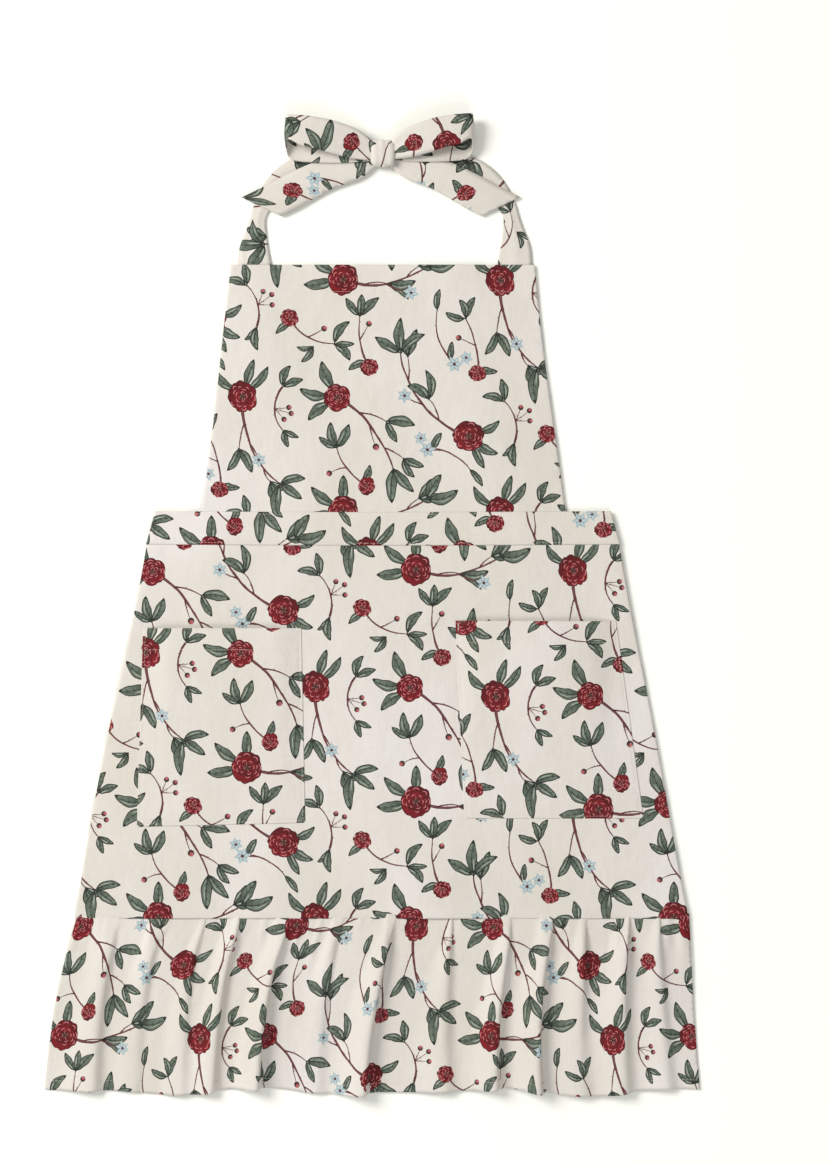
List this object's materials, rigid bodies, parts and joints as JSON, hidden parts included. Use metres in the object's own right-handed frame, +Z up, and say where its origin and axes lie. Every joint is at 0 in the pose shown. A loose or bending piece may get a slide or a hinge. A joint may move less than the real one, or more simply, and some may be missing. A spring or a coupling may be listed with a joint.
{
  "type": "bib apron",
  "caption": "Printed bib apron lying face up, with a waistband, gathered hem ruffle, patch pockets, a neck loop tied in a bow and waist ties folded behind.",
  "frame": {"origin": "middle of the footprint, on the table the apron lies on", "axes": "+Y from the ruffle's hem to the bow, along the apron; +X to the right, seen from above with the bow at the top; +Z up from the table, out of the printed face"},
  "size_m": [0.669, 1.002, 0.022],
  "materials": {
    "printed_cloth": "plain-weave cotton with a small rose print",
    "cloth_reverse": "the reverse of the printed cotton, plain ivory",
    "interlining": "white non-woven interlining",
    "thread": "cream sewing thread"
  },
  "bodies": {
    "skirt_and_band": {"skirt_panel": "printed_cloth", "skirt_hem_left": "cloth_reverse", "skirt_hem_right": "cloth_reverse", "ruffle_seam_allowance": "cloth_reverse", "waistband_front": "printed_cloth", "waistband_facing": "cloth_reverse", "waistband_interlining": "interlining", "waistband_stitching": "thread", "bib_seam_allowance": "cloth_reverse", "pocket_left": "printed_cloth", "pocket_hem_left": "cloth_reverse", "pocket_stitching_left": "thread", "pocket_bartacks_left": "thread", "pocket_right": "printed_cloth", "pocket_hem_right": "cloth_reverse", "pocket_stitching_right": "thread", "pocket_bartacks_right": "thread"},
    "bib": {"bib_panel": "printed_cloth", "bib_top_facing": "cloth_reverse", "bib_hem_left": "cloth_reverse", "bib_hem_right": "cloth_reverse", "bib_stitching": "thread", "neck_tie_end_left": "cloth_reverse", "neck_tie_end_right": "cloth_reverse"},
    "neck_loop": {"neck_tie_left": "printed_cloth", "neck_tie_right": "printed_cloth", "bow_knot": "printed_cloth", "bow_loop_left": "printed_cloth", "bow_loop_right": "printed_cloth", "bow_tail_left": "printed_cloth", "bow_tail_right": "printed_cloth"},
    "ruffle": {"ruffle": "printed_cloth", "ruffle_hem": "cloth_reverse"},
    "waist_tie_left": {"waist_tie_left": "printed_cloth"},
    "waist_tie_right": {"waist_tie_right": "printed_cloth"}
  },
  "joints": [
    {"name": "bib_fold", "type": "hinge", "parent": "skirt_and_band", "child": "bib", "pos_m": [0, 0.097, 0.0044], "axis": [1, 0, 0], "range_deg": [0, 150]},
    {"name": "neck_fold", "type": "hinge", "parent": "bib", "child": "neck_loop", "pos_m": [0, 0.348, 0.0039], "axis": [1, 0, 0], "range_deg": [0, 165]},
    {"name": "ruffle_fold", "type": "hinge", "parent": "skirt_and_band", "child": "ruffle", "pos_m": [0, -0.317, 0.0039], "axis": [-1, 0, 0], "range_deg": [0, 150]},
    {"name": "waist_tie_left_swing", "type": "hinge", "parent": "skirt_and_band", "child": "waist_tie_left", "pos_m": [-0.21425, 0.08, 0.0008], "axis": [0, 0, -1], "range_deg": [0, 120]},
    {"name": "waist_tie_right_swing", "type": "hinge", "parent": "skirt_and_band", "child": "waist_tie_right", "pos_m": [0.21425, 0.08, 0.0008], "axis": [0, 0, 1], "range_deg": [0, 120]}
  ]
}
